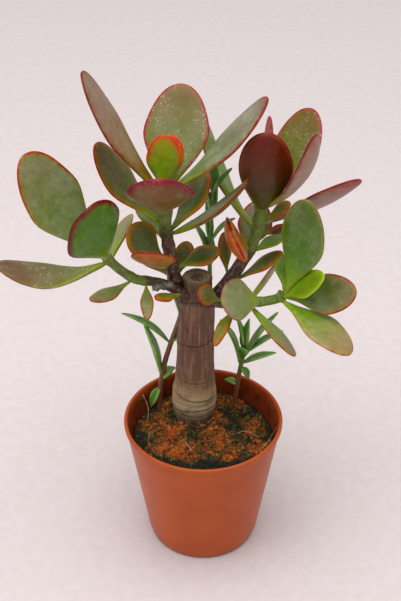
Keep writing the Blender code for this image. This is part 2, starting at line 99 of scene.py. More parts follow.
# The narrow-leaved sprigs, in millimetres and degrees: foot, stem, and for each leaf its share of the
# stem's length, azimuth, rise, length and width
SPRIGS = {
    "narrow_sprig_left": {
        "foot": (-16, 15), "diameters": (2.2, 1.6), "woody": 40,
        "route": [(0, 0, 0), (0.8, 0.5, 10), (2.2, 1, 19), (4.4, 2, 27), (7.3, 3, 36), (10, 4, 45)],
        "leaves": [(0.66, 180, 38, 21, 2.8), (0.39, 174, 76, 23, 3.8), (0.36, 20, 40, 6.5, 4.0),
                   (0.66, 20, 30, 5, 2.6), (0.28, 215, -60, 9, 3.0), (0.85, 160, 72, 9, 2.2)],
    },
    "narrow_sprig_back": {
        "foot": (3, 20), "diameters": (2, 1.3), "woody": 20,
        "route": [(0, 0, 0), (0, 2, 19), (-0.5, 3.5, 39), (-0.8, 3.5, 57), (-0.5, 2.2, 71), (0, 1.5, 88)],
        "leaves": [(0.65, 165, 70, 17, 2.6), (0.64, 90, 82, 15, 2.8), (0.76, 345, 52, 13, 2.2),
                   (0.73, 120, 80, 16, 2.4), (0.84, 60, 74, 14, 2.4), (0.86, 170, 75, 13, 2.6),
                   (0.96, 90, 84, 14, 3.0), (0.96, 330, 58, 13, 2.4)],
    },
    "narrow_sprig_right": {
        "foot": (11.5, 18), "diameters": (2.0, 1.5), "woody": 18,
        "route": [(0, 0, 0), (0.6, -1, 8), (1.2, -1, 14), (2.4, -1, 22), (2.8, -1, 26)],
        "leaves": [(0.78, 180, 70, 20.5, 3.0), (0.86, 250, 65, 7.5, 3.6), (0.94, 60, 75, 13, 2.8),
                   (0.86, 0, 60, 23, 3.0), (0.76, 0, 22, 13, 2.8), (0.72, 330, -50, 5.5, 2.6),
                   (0.50, 170, 20, 5, 2.4), (0.92, 0, 38, 17, 2.6), (0.97, 170, 80, 15, 2.4)],
    },
}


# ---------------------------------------------------------------- small helpers

def srgb(hex_colour):
    """A hex colour turned to linear light, as the shaders need it."""
    channels = [int(hex_colour[i:i + 2], 16) / 255 for i in (1, 3, 5)]
    linear = [c / 12.92 if c <= 0.04045 else ((c + 0.055) / 1.055) ** 2.4 for c in channels]
    return (*linear, 1)


def feed(node, inputs):
    """Gives a node its inputs: values, hex colours, or the sockets that feed them."""
    for key, value in inputs.items():
        if isinstance(value, bpy.types.NodeSocket):
            node.id_data.links.new(value, node.inputs[key])
        else:
            node.inputs[key].default_value = srgb(value) if isinstance(value, str) else value


def add_node(tree, kind, inputs, stops=(), output=0, **settings):
    """Adds one node and gives its output. Stops are a ramp's places and colours."""
    node = tree.nodes.new("ShaderNode" + kind)
    for key, value in settings.items():
        setattr(node, key, value)
    feed(node, inputs)
    for index, (place, colour) in enumerate(stops):
        elements = node.color_ramp.elements
        element = elements[index] if index < len(elements) else elements.new(place)
        element.position = place
        element.color = srgb(colour)
    return node.outputs[output]


def paint(add, base, layers):
    """Lays colours over a base one by one, each by its own amount."""
    colour = base
    for amount, over in layers:
        colour = add("Mix", {0: amount, 6: colour, 7: over}, output=2, data_type="RGBA")
    return colour


def new_material(name, roughness, ior=1.45):
    """A material, its shader, the place that its patterns follow, and what adds a node to it."""
    material = bpy.data.materials.new(name)
    material.use_nodes = True
    tree = material.node_tree
    shader = tree.nodes["Principled BSDF"]
    feed(shader, {"Roughness": roughness, "IOR": ior})
    add = partial(add_node, tree)
    return material, shader, add("TexCoord", {}, output="Object"), add


def select_only(*objects):
    bpy.ops.object.select_all(action="DESELECT")
    for obj in objects:
        obj.select_set(True)
    bpy.context.view_layer.objects.active = objects[-1]


def corners(obj):
    co = np.empty(len(obj.data.vertices) * 3)
    obj.data.vertices.foreach_get("co", co)
    return co.reshape(-1, 3)


def set_corners(obj, co):
    obj.data.vertices.foreach_set("co", np.asarray(co, float).ravel())
    obj.data.update()


def set_attributes(obj, **measures):
    """Writes what the material reads at each corner."""
    for name, values in measures.items():
        attribute = obj.data.attributes.new(name, "FLOAT", "POINT")
        attribute.data.foreach_set("value", np.asarray(values, np.float32))


def apply_modifiers(obj):
    select_only(obj)
    for modifier in list(obj.modifiers):
        bpy.ops.object.modifier_apply(modifier=modifier.name)


def finish_piece(obj, name, material, replaces=()):
    """Names a finished piece, gives it its material and ties it to the frame."""
    obj.name = name
    obj.data.name = name
    obj.data.materials.clear()
    obj.data.materials.append(material)
    select_only(obj)
    bpy.ops.object.transform_apply(location=True, rotation=True, scale=True)
    bpy.ops.object.shade_smooth()
    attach(obj, "root")
    if replaces:
        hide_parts(*replaces)


def polar(azimuth, rise=0):
    """The direction that an azimuth and a rise in degrees point to."""
    azimuth, rise = math.radians(azimuth), math.radians(rise)
    return Vector((math.cos(rise) * math.cos(azimuth), math.cos(rise) * math.sin(azimuth),
                   math.sin(rise)))


def lumps(co, size, seed):
    """Smooth noise at each corner, about -1 to 1, with lumps of about that size."""
    return np.array([noise.noise(Vector(p) / size + Vector((seed, 0, 0))) for p in co])


def mound(x, y):
    """How far the ground rises above its level at the wall."""
    distance = np.hypot(x - TRUNK_CENTRE.x, y - TRUNK_CENTRE.y)
    return MOUND_HEIGHT * np.exp(-(distance / MOUND_SPREAD) ** 2)


def inner_wall_radius(z):
    share = z / (POT_HEIGHT - LIP_HEIGHT)
    return BASE_RADIUS + (RIM_RADIUS - LIP_PROUD - BASE_RADIUS) * share - POT_WALL


# ---------------------------------------------------------------- camera, light and floor

def make_camera():
    """The view: a long lens from the front, looking down at about 35 degrees."""
    target = Vector((-0.95, 0, 99.2)) * MM
    down = math.radians(34.8)
    distance = 389 * MM
    bpy.ops.object.camera_add()
    camera = bpy.context.object
    camera.name = "camera"
    camera.data.lens = 72
    camera.data.sensor_width = 36
    camera.location = target - distance * Vector((0, math.cos(down), -math.sin(down)))
    camera.rotation_euler = (math.pi / 2 - down, 0, 0)
    bpy.context.scene.camera = camera


def add_soft_light(name, place, aim, size, watts, colour):
    bpy.ops.object.light_add(type="AREA", location=place)
    light = bpy.context.object
    light.name = name
    light.data.size = size
    light.data.energy = watts
    light.data.color = srgb(colour)[:3]
    light.rotation_euler = (Vector(aim) - Vector(place)).to_track_quat("-Z", "Y").to_euler()


def make_light():
    """A pale tent all round, a broad soft light overhead, and a weak one at the left."""
    scene = bpy.context.scene
    scene.view_settings.view_transform = "Standard"
    world = bpy.data.worlds.new("pale tent")
    scene.world = world
    world.use_nodes = True
    feed(world.node_tree.nodes["Background"], {"Color": "#FFFCFC", "Strength": 0.66})
    plant = (0, 0, 0.1)
    add_soft_light("overhead", (-0.05, -0.12, 1.1), plant, 1.0, 11.5, "#FFFEFB")
    add_soft_light("left_fill", (-0.8, -0.35, 0.5), plant, 0.6, 1.2, "#FFFAF6")


def make_floor():
    """A sheet of pale, faintly textured backdrop paper."""
    bpy.ops.mesh.primitive_plane_add(size=6)
    floor = bpy.context.object
    floor.name = "floor"
    paper = grainy("backdrop paper", 0.8, 260, 3, [(0.3, "#C9C0C1"), (0.7, "#CFC6C8")])
    floor.data.materials.append(paper)


# ---------------------------------------------------------------- materials
# Patterns read a place in metres, so a scale of 1000 gives grains of about 1 mm.

def grainy(name, roughness, scale, detail, stops, relief=0, depth=0):
    """A material whose one noise gives its colours and, where it has any, its relief."""
    material, shader, place, add = new_material(name, roughness)
    grain = add("TexNoise", {"Vector": place, "Scale": scale, "Detail": detail})
    feed(shader, {"Base Color": add("ValToRGB", {"Fac": grain}, stops=stops)})
    if relief:
        feed(shader, {"Normal": add("Bump", {"Height": grain, "Strength": relief, "Distance": depth})})
    return material


def jade_leaf_skin(name, upper, under, rim="#96302A", glow="#B0602A", rim_width=0.6, glow_width=1.9,
                   bloom=0.25, speckle=0.35, blush=0.15, rim_from=0.15):
    """Waxy skin of a jade leaf: green, greyed by bloom, and red where the sun caught its edge.

    Upper and under are colours at the leaf's foot, middle and tip. Widths are in millimetres.
    """
    material, shader, place, add = new_material(name, 0.38)
    along, face, edge, tone = (add("Attribute", {}, output="Fac", attribute_name=attribute)
                               for attribute in ("along", "face", "edge", "tone"))
    cloud = add("TexNoise", {"Vector": place, "Scale": 130, "Detail": 4})
    dapple = add("TexNoise", {"Vector": place, "Scale": 480, "Detail": 5, "Roughness": 0.6})

    # The faces' own colours, from foot to tip
    drift = add("MapRange", {"Value": cloud, "To Min": -0.25, "To Max": 0.25})
    reach = add("Math", {0: along, 1: drift}, operation="ADD")
    top, back = (add("ValToRGB", {"Fac": reach}, stops=list(zip((0.02, 0.38, 0.95), tones)))
                 for tones in (upper, under))

    # Its margin: a light line, a wide glow and a thin rim, from where the sun reaches it
    ragged = add("Math", {0: dapple, 1: 1.4, 2: -0.7}, operation="MULTIPLY_ADD")
    wander = add("Math", {0: cloud, 1: 2.4, 2: -1.2}, operation="MULTIPLY_ADD")
    margin = add("Math", {0: edge, 1: ragged}, operation="ADD")
    wide_margin = add("Math", {0: margin, 1: wander}, operation="ADD")
    sunned = add("MapRange", {"Value": reach, "From Min": rim_from, "From Max": rim_from + 0.35})
    light_edge = add("MapRange", {"Value": margin, "From Min": 1.5, "From Max": 0.3, "To Max": 0.5})
    rim_band = add("MapRange", {
        "Value": margin, "From Min": rim_width * 1.5, "From Max": rim_width * 0.5})
    rim_amount = add("Math", {0: rim_band, 1: sunned}, operation="MULTIPLY")
    glow_band = add("MapRange", {
        "Value": wide_margin, "From Min": glow_width, "From Max": rim_width * 0.8, "To Max": 0.6})
    glow_amount = add("Math", {0: glow_band, 1: sunned}, operation="MULTIPLY")

    # Its bloom, its blushed tip, and its pale dots, which stand in patches
    bloom_amount = add("MapRange", {"Value": cloud, "From Min": 0.40, "From Max": 0.66, "To Max": bloom})
    blush_amount = add("MapRange", {"Value": reach, "From Min": 0.5, "From Max": 1.1, "To Max": blush})
    cells = add("TexVoronoi", {"Vector": place, "Scale": 1250})
    chance = add("SeparateColor", {0: cells.node.outputs["Color"]})
    chosen = add("MapRange", {"Value": chance, "From Min": 0.45, "From Max": 0.9})
    dot = add("MapRange", {"Value": cells, "From Min": 0.36, "From Max": 0.16, "To Max": speckle})
    dot = add("Math", {0: dot, 1: chosen}, operation="MULTIPLY")
    patch = add("MapRange", {"Value": cloud, "From Min": 0.42, "From Max": 0.56})
    dot = add("Math", {0: dot, 1: patch}, operation="MULTIPLY")

    mottle = add("MapRange", {
        "Value": dapple, "From Min": 0.3, "From Max": 0.7, "To Min": 0.8, "To Max": 1.2})
    colour = paint(add, back, [
        (face, top), (blush_amount, rim), (bloom_amount, "#949C7C"), (light_edge, "#99983A"),
        (glow_amount, glow), (rim_amount, rim), (dot, "#C8CCA6")])
    shade = add("Math", {0: tone, 1: mottle}, operation="MULTIPLY")
    shade = add("HueSaturation", {"Value": shade, "Saturation": 1.12, "Color": colour})
    shine = add("MapRange", {"Value": dapple, "To Min": 0.28, "To Max": 0.48})
    pores = add("Bump", {"Height": dapple, "Strength": 0.12, "Distance": 0.12 * MM})
    feed(shader, {"Base Color": shade, "Roughness": shine, "Normal": pores, "Specular IOR Level": 0.38,
                  "Subsurface Weight": 0.1, "Subsurface Radius": (0.9, 1.0, 0.4),
                  "Subsurface Scale": 0.8 * MM})
    return material


# Colours of a leaf's face at its foot, middle and tip
GREEN = ("#8A9C28", "#5C7E22", "#627628")
GREY_GREEN = ("#7E8C2A", "#6C7A44", "#7C7C50")
OLIVE = ("#6E761C", "#5C6618", "#64561E")
BRONZE = ("#7C8E1C", "#646228", "#683F30")
DARK_GREEN = ("#64741C", "#40560F", "#465414")
FRESH = ("#96A82A", "#74921A", "#80921E")
YOUNG = ("#7C9C2A", "#62821C", "#6C8424")
PALE = ("#90A634", "#788A46", "#927C58")
BURGUNDY = ("#4A5010", "#4C3010", "#62201A")
PINK_BACK = ("#9A9A50", "#A48C78", "#AC7C74")
GREEN_BACK = ("#84962A", "#587822", "#4C641E")
ORANGE = ("#8A8A28", "#B0682A", "#C0582A")

LOOKS = {
    "green_bloom": dict(
        upper=GREEN, under=GREEN_BACK, bloom=0.4, rim="#A04030", rim_from=0.4, glow="#96702C"),
    "grey_dusted": dict(
        upper=("#7E9034", "#74824A", "#80865C"), under=GREEN_BACK, bloom=0.5, rim="#A04030",
        rim_from=0.4, glow="#96702C"),
    "dark_rimmed_back": dict(
        upper=("#869A2A", "#54782A", "#5A3A20"), under=("#86A02A", "#507E22", "#467024"), rim="#661A14",
        rim_width=1.3, glow="#5A4A22", glow_width=2.2),
    "bronze": dict(
        upper=BRONZE, under=OLIVE, rim="#5E2A22", speckle=0.8, bloom=0.2, rim_from=0.4, glow="#6A5A2A",
        rim_width=0.5),
    "pale": dict(upper=PALE, under=PALE, rim="#A06048", rim_width=0.4, glow="#9A9A40"),
    "small_grey": dict(upper=GREY_GREEN, under=OLIVE, rim="#94584A", rim_width=0.5, glow="#96703C"),
    "small_orange": dict(
        upper=GREEN, under=ORANGE, rim="#B04A2A", rim_width=0.5, glow="#C07A2C", glow_width=2.6),
    "bronze_pink": dict(
        upper=("#80601C", "#8C6E50", "#9A7C6A"), under=("#74601E", "#7A5230", "#7A4636"), rim="#761C1E",
        bloom=0.3, blush=0.2, glow="#8E4A3C", glow_width=2.8),
    "grey_bloom": dict(
        upper=("#56702A", "#626C4A", "#766C5E"), under=GREEN_BACK, rim="#7E2428", bloom=0.4,
        glow="#7A4A34", rim_width=0.8),
    "grey_green": dict(
        upper=("#66741C", "#54602C", "#5C5C34"), under=GREEN_BACK, rim="#822A24", bloom=0.2,
        glow="#7E5230"),
    "olive_speckled": dict(
        upper=OLIVE, under=GREEN_BACK, rim="#94323A", speckle=0.7, glow="#7E4A30", bloom=0.14,
        rim_width=0.8),
    "crimson_back": dict(
        upper=("#7C6A3A", "#7A4A30", "#7E342A"), under=("#86803C", "#765F30", "#7A4C30"), rim="#86303A",
        rim_width=1.4, blush=0.1, glow="#7E3A36", glow_width=3.2, bloom=0.3),
    "orange_rimmed": dict(
        upper=("#708428", "#64682E", "#68623A"), under=GREEN_BACK, rim="#A03A28", glow="#A86A28"),
    "dark_orange": dict(
        upper=DARK_GREEN, under=DARK_GREEN, rim="#B8501E", glow="#C07A26", rim_width=0.5,
        glow_width=2.6),
    "vivid": dict(
        upper=FRESH, under=FRESH, rim="#D03214", glow="#C86A24", rim_width=1.0, glow_width=2.2,
        bloom=0.05, speckle=0.1, rim_from=0.4),
    "orange_tip": dict(
        upper=("#8A8A28", "#B4622A", "#C24A26"), under=("#7A8428", "#8C742C", "#B05E30"), rim="#9E2A1E",
        glow="#C86A2A", glow_width=2.4),
    "ridge": dict(
        upper=ORANGE, under=ORANGE, rim="#9A1C16", glow="#CC6A2C", rim_width=0.45, blush=0.1,
        glow_width=3.0),
    "burgundy_back": dict(
        upper=GREEN, under=BURGUNDY, rim="#8C1422", glow="#741C1A", bloom=0.03, speckle=0.1,
        glow_width=2.6),
    "pink_back": dict(
        upper=("#7A4A28", "#782420", "#741E20"), under=PINK_BACK, rim="#84202A", bloom=0.3,
        glow="#8E4A40"),
    "rosy_back": dict(
        upper=("#7A4A28", "#842424", "#8A1E24"), under=("#9A9464", "#A48A7C", "#A05C58"), rim="#94202C",
        bloom=0.3, glow="#963A3A", glow_width=2.6),
    "pale_green": dict(
        upper=GREEN, under=("#7E8E34", "#6E7E40", "#64703A"), rim="#80382A", bloom=0.3, glow="#7A6A30"),
    "fresh_green": dict(
        upper=("#80A022", "#4A721C", "#4C6A24"), under=GREEN_BACK, rim="#946A58", glow="#6E7A34",
        rim_width=0.4, bloom=0.3, speckle=0.4, rim_from=0.6),
    "red_rimmed": dict(
        upper=("#688426", "#4A5E22", "#545426"), under=GREEN_BACK, rim="#8A3A26", glow="#8A5A34",
        rim_from=0.3, bloom=0.35, glow_width=2.6),
    "pale_to_pink": dict(
        upper=("#70A018", "#748A34", "#947A58"), under=PALE, rim="#9E5844", rim_width=0.4, blush=0.1,
        glow="#9A8048"),
    "young": dict(
        upper=YOUNG, under=YOUNG, rim="#A0B432", rim_width=0.3, bloom=0.06, speckle=0.1, glow="#88A62A",
        blush=0),
    "grey_speckled": dict(
        upper=("#88983A", "#808A58", "#868C66"), under=GREY_GREEN, rim="#9A6456", glow="#94825A",
        speckle=0.9, bloom=0.4, rim_width=0.5, rim_from=0.25, blush=0.05),
}

LOOKS_BY_STEM = {
    "left_shoot": ["grey_dusted", "dark_rimmed_back", "bronze", "pale", "small_grey", "small_grey",
                   "small_orange"],
    "left_branch": ["bronze_pink", "grey_bloom", "olive_speckled", "crimson_back", "orange_rimmed",
                    "grey_green", "dark_orange", "vivid", "vivid", "dark_orange", "orange_tip",
                    "dark_orange", "dark_orange"],
    "right_branch": ["burgundy_back", "olive_speckled", "pink_back", "rosy_back", "pale_green",
                     "rosy_back", "dark_orange", "burgundy_back", "young", "ridge", "dark_orange",
                     "dark_orange"],
    "right_shoot": ["fresh_green", "red_rimmed", "pale_to_pink", "fresh_green", "young",
                    "grey_speckled", "pale_to_pink", "pale", "orange_rimmed", "small_orange"],
    "back": ["green_bloom", "olive_speckled", "dark_orange"],
}
LEAF_LOOKS = {f"{stem}_leaf_{number}": look for stem, looks in LOOKS_BY_STEM.items()
              for number, look in enumerate(looks, 1)}


def green_stem_bark():
    """Young jade stem: smooth green skin above, turning purple-brown and corky towards the trunk."""
    material, shader, place, add = new_material("green stem", 0.48)
    green = add("Attribute", {}, output="Fac", attribute_name="green")
    cloud = add("TexNoise", {"Vector": place, "Scale": 260, "Detail": 5})
    drift = add("Math", {0: cloud, 1: 0.7, 2: -0.35}, operation="MULTIPLY_ADD")
    age = add("Math", {0: green, 1: drift}, operation="ADD")
    ramp = add("ValToRGB", {"Fac": age}, stops=[
        (0.05, "#3E221C"), (0.3, "#57362A"), (0.5, "#46381A"), (0.75, "#424612"), (1.0, "#5E741C")])
    flecks = add("TexNoise", {"Vector": place, "Scale": 800, "Detail": 4})
    amount = add("MapRange", {"Value": flecks, "From Min": 0.5, "From Max": 0.72, "To Max": 0.55})
    colour = paint(add, ramp, [(amount, "#9A8672")])
    bump = add("Bump", {"Height": flecks, "Strength": 0.4, "Distance": 0.15 * MM})
    feed(shader, {"Base Color": colour, "Normal": bump})
    return material


def old_bark():
    """Old jade bark: purplish brown with pale upright streaks, and bleached, ringed cork at its foot."""
    material, shader, place, add = new_material("bark", 0.75)
    height = add("SeparateXYZ", {0: place}, output="Z")
    stretched = add("Mapping", {"Vector": place, "Scale": (1, 1, 0.09)})
    streak = add("TexNoise", {"Vector": stretched, "Scale": 950, "Detail": 5, "Roughness": 0.7})
    cloud = add("TexNoise", {"Vector": place, "Scale": 260, "Detail": 5})
    climb = add("MapRange", {"Value": height, "From Min": 44 * MM, "From Max": 104 * MM})
    ramp = add("ValToRGB", {"Fac": climb}, stops=[
        (0.0, "#2E261E"), (0.06, "#76644E"), (0.12, "#AE9A76"), (0.20, "#9E8662"), (0.27, "#80633F"),
        (0.33, "#64442C"), (0.60, "#5E3A28"), (0.80, "#6E4C3C"), (0.86, "#57432F"), (1.0, "#4E3C2A")])
    pale = add("MapRange", {"Value": streak, "From Min": 0.47, "From Max": 0.74, "To Max": 0.8})
    dark = add("MapRange", {"Value": cloud, "From Min": 0.52, "From Max": 0.72, "To Max": 0.7})
    groove, cut, radius = (add("Attribute", {}, output="Fac", attribute_name=attribute)
                           for attribute in ("groove", "cut", "radius"))
    wood = add("Math", {0: cloud, 1: 4.0, 2: radius}, operation="MULTIPLY_ADD")
    rings = add("Math", {0: wood, 1: 7.0}, operation="MULTIPLY")
    rings = add("Math", {0: rings}, operation="SINE")
    cut_face = add("ValToRGB", {"Fac": rings}, stops=[(0.0, "#9A8260"), (0.9, "#665038")])
    colour = paint(add, ramp, [
        # The grooves are painted darker the deeper they are: painted shade
        (dark, "#46261E"), (pale, "#A08070"), (groove, "#2E1C16"), (cut, cut_face)])
    bump = add("Bump", {"Height": streak, "Strength": 0.6, "Distance": 0.25 * MM})
    feed(shader, {"Base Color": colour, "Normal": bump})
    return material


def terracotta_plastic():
    """Polypropylene moulded in terracotta colour: satin, a little uneven, with a few dark specks."""
    material, shader, place, add = new_material("terracotta plastic", 0.36, ior=1.49)
    cloud = add("TexNoise", {"Vector": place, "Scale": 90, "Detail": 4})
    ramp = add("ValToRGB", {"Fac": cloud}, stops=[(0.3, "#A64718"), (0.7, "#B2501D")])
    speck = add("TexVoronoi", {"Vector": place, "Scale": 130})
    speck_amount = add("MapRange", {"Value": speck, "From Min": 0.06, "From Max": 0.03, "To Max": 0.6})
    # Painted shade: the inner wall darkens further below the rim, with dirt spots that darken deeper too
    inside = add("Attribute", {}, output="Fac", attribute_name="inside")
    dirt_and_shade = add("TexNoise", {"Vector": place, "Scale": 400, "Detail": 5})
    dirt_and_shade = add("MapRange", {"Value": dirt_and_shade, "From Min": 0.5, "From Max": 0.65})
    dirt_and_shade = add("Math", {0: dirt_and_shade, 1: inside}, operation="MULTIPLY")
    colour = paint(add, ramp, [(speck_amount, "#5A2A16"), (inside, "#6A2816"), (dirt_and_shade, "#3E1E12")])
    grain = add("TexNoise", {"Vector": place, "Scale": 1500, "Detail": 2})
    bump = add("Bump", {"Height": grain, "Strength": 0.08, "Distance": 0.1 * MM})
    feed(shader, {"Base Color": colour, "Normal": bump, "Specular IOR Level": 0.22})
    return material


def potting_soil():
    """Damp peat with dark crumbs."""
    crumbs = [(0.35, "#14100C"), (0.6, "#3A2718"), (0.75, "#5A4028")]
    return grainy("potting soil", 0.9, 1100, 5, crumbs, relief=1.0, depth=0.5 * MM)


def moss_carpet(name, dark, middle, light):
    """Matted moss: its colour runs from its shaded roots to its tips."""
    material, shader, place, add = new_material(name, 0.85)
    tone = add("Attribute", {}, output="Fac", attribute_name="tone")
    cloud = add("TexNoise", {"Vector": place, "Scale": 900, "Detail": 4})
    mixed = add("Math", {0: cloud, 1: 0.5, 2: tone}, operation="MULTIPLY_ADD")
    ramp = add("ValToRGB", {"Fac": mixed}, stops=[(0.2, dark), (0.65, middle), (1.0, light)])
    feed(shader, {"Base Color": ramp})
    return material


def narrow_leaf_skin():
    """Soft narrow leaf: bright green at its edges, darker along its middle and towards its tip."""
    material, shader, place, add = new_material("narrow leaf", 0.45)
    across, along, woody = (add("Attribute", {}, output="Fac", attribute_name=attribute)
                            for attribute in ("across", "along", "woody"))
    cloud = add("TexNoise", {"Vector": place, "Scale": 300, "Detail": 4})
    ramp = add("ValToRGB", {"Fac": cloud}, stops=[(0.3, "#54862A"), (0.5, "#76A43C"), (0.7, "#9ABA62")])
    midrib = add("MapRange", {"Value": across, "From Min": 0.85, "From Max": 0.4, "To Max": 0.75})
    tip = add("MapRange", {"Value": along, "From Min": 0.6, "From Max": 1, "To Max": 0.35})
    colour = paint(add, ramp, [(midrib, "#38661E"), (tip, "#4E7A2A"), (woody, "#824C38")])
    feed(shader, {"Base Color": colour})
    return material


def dry_straw():
    """Dead stalks and leaf bits, bleached beige."""
    return grainy("dry straw", 0.8, 500, 3, [(0.3, "#7A6448"), (0.6, "#B8A27E"), (0.8, "#D8C8A8")])


def dead_twig_skin():
    """Dry, shrivelled twig: grey cork with dark wrinkles."""
    corks = [(0.35, "#4E4A3C"), (0.6, "#7E7A66"), (0.75, "#9C9884")]
    return grainy("dead twig", 0.85, 700, 4, corks, relief=0.6, depth=0.2 * MM)


# ---------------------------------------------------------------- turned shapes and tubes

def weld(threshold):
    """Merges the active piece's doubled corners and turns its faces outwards."""
    bpy.ops.object.mode_set(mode="EDIT")
    bpy.ops.mesh.select_all(action="SELECT")
    bpy.ops.mesh.remove_doubles(threshold=threshold)
    bpy.ops.mesh.normals_make_consistent(inside=False)
    bpy.ops.object.mode_set(mode="OBJECT")


def turn_profile(profile, steps):
    """A closed solid of revolution about Z: a line drawn point by point, and spun all the way round."""
    bpy.ops.mesh.primitive_plane_add(size=1 * MM)
    obj = bpy.context.object
    bpy.ops.object.mode_set(mode="EDIT")
    bpy.ops.mesh.select_all(action="SELECT")
    bpy.ops.mesh.merge(type="CENTER")
    radius, height = profile[0]
    bpy.ops.transform.translate(value=(radius, 0, height))
    for (r0, z0), (r1, z1) in zip(profile, profile[1:]):
        bpy.ops.mesh.extrude_vertices_move(TRANSFORM_OT_translate={"value": (r1 - r0, 0, z1 - z0)})
    bpy.ops.mesh.select_all(action="SELECT")
    bpy.ops.mesh.spin(steps=steps, angle=math.tau, center=(0, 0, 0), axis=(0, 0, 1))
    weld(0.01 * MM)
    return obj


def smooth_route(points, steps):
    """Points on a smooth curve through a route's own points."""
    ends = [2 * points[0] - points[1], *points, 2 * points[-1] - points[-2]]
    route = []
    for a, b, c, d in zip(ends, ends[1:], ends[2:], ends[3:]):
        for i in range(steps):
            t = i / steps
            route.append(0.5 * (2 * b + (c - a) * t + (2 * a - 5 * b + 4 * c - d) * t ** 2
                                + (3 * b - a - 3 * c + d) * t ** 3))
    return route + [points[-1]]


def lengths_along(route):
    """How far along a route each of its points is."""
    return np.concatenate([[0], np.cumsum([(b - a).length for a, b in zip(route, route[1:])])])


def make_tube(points, radii, resolution=4):
    """A closed tube through points, with its own radius at each."""
    bpy.ops.curve.primitive_nurbs_path_add()
    obj = bpy.context.object
    curve = obj.data
    curve.splines.clear()
    spline = curve.splines.new("POLY")
    spline.points.add(len(points) - 1)
    widest = max(radii)
    for point, place, radius in zip(spline.points, points, radii):
        point.co = (*place, 1)
        point.radius = radius / widest
    curve.bevel_depth = widest
    curve.bevel_resolution = resolution
    curve.use_fill_caps = True
    bpy.ops.object.convert(target="MESH")
    weld(0.002 * MM)
    return bpy.context.object


# ---------------------------------------------------------------- jade leaves

def blade_width(along, neck=BLADE_NECK):
    """A leaf's width at a share of its length: a narrow stalk that opens to a broad blade."""
    share = np.minimum(1, along / BLADE_FULL_AT)
    return neck + (1 - neck) * share * share * (3 - 2 * share)


def read_sphere(obj):
    """A sphere read as a blade to be: share of its length, girth there, and place across and up."""
    x, y, z = corners(obj).T
    ring = np.sqrt(np.maximum(0, 1 - z * z))
    safe = np.maximum(ring, 1e-6)
    across, up = (np.where(ring > 1e-4, side / safe, 0) for side in (x, y))
    return (1 + z) / 2, ring, across, up


def stem_points(name):
    stem = STEMS[name]
    start = Vector(stem["start"])
    return [(start + Vector(offset)) * MM for offset in stem["route"]]


def stem_of(node):
    """The stem that a leaf grows on. The leaves behind the fork are told apart by their own name."""
    if node == "back_leaf_2":
        return "right_branch"
    if node.startswith("back_leaf"):
        return "left_branch"
    return node.split("_leaf_")[0]


LEANS_BACK = "left_branch_leaf_8"     # the one leaf whose upper face is turned down
FULL_FEET = {"right_branch_leaf_1": 0.72, "left_branch_leaf_4": 0.5, "right_shoot_leaf_6": 0.5}
BROADER_THAN_LONG = "right_branch_leaf_10"
SWOLLEN = {"right_branch_leaf_10": 1.7, "right_shoot_leaf_10": 1.4, "left_branch_leaf_4": 1.5,
           "left_shoot_leaf_7": 1.6}   # young leaves, fat for their width
LEAF_FOOT_REACH = 1.3 * MM            # how far a leaf's stalk runs into its stem
LONG_REACH = {"left_shoot_leaf_7": 3.6 * MM}


def leaf_measure(node):
    """A CAD leaf's foot, its axes and its measures, worked out from the solid's corners."""
    co = np.unique(np.round(corners(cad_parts[node]), 7), axis=0)
    apart = np.linalg.norm(co[:, None] - co[None], axis=2)
    first, second = np.unravel_index(apart.argmax(), apart.shape)
    route = np.array(smooth_route(stem_points(stem_of(node)), ROUTE_STEPS))
    ends = co if node == BROADER_THAN_LONG else co[[first, second]]
    foot = min(ends, key=lambda p: np.linalg.norm(route - p, axis=1).min())
    tip = max(co, key=lambda p: np.linalg.norm(p - foot))
    length = np.linalg.norm(tip - foot)
    along = (tip - foot) / length
    middle = co[np.abs((co - foot) @ along / length - 0.5) < 0.03]
    flat = middle - foot - np.outer((middle - foot) @ along, along)
    apart = np.linalg.norm(flat[:, None] - flat[None], axis=2)
    left, right = np.unravel_index(apart.argmax(), apart.shape)
    side = (flat[right] - flat[left]) / apart.max()
    upper = np.cross(along, side)
    if (upper[2] < 0) != (node == LEANS_BACK):
        side, upper = -side, -upper
    heights = flat @ upper
    crest = np.abs(flat @ side) < 0.1 * apart.max()
    arch = (heights[crest].max() + heights[crest].min()) / 2
    half = apart.max() / 2
    cup = ((heights[left] + heights[right]) / 2 - arch) / half
    return {"foot": foot, "turn": np.array([along, side, upper]), "length": length,
            "width": 2 * half / blade_width(0.5),
            "thickness": np.ptp(heights[crest]) * SWOLLEN.get(node, 1),
            "arch": arch, "cup": cup, "neck": FULL_FEET.get(node, BLADE_NECK),
            "reach": LONG_REACH.get(node, LEAF_FOOT_REACH)}


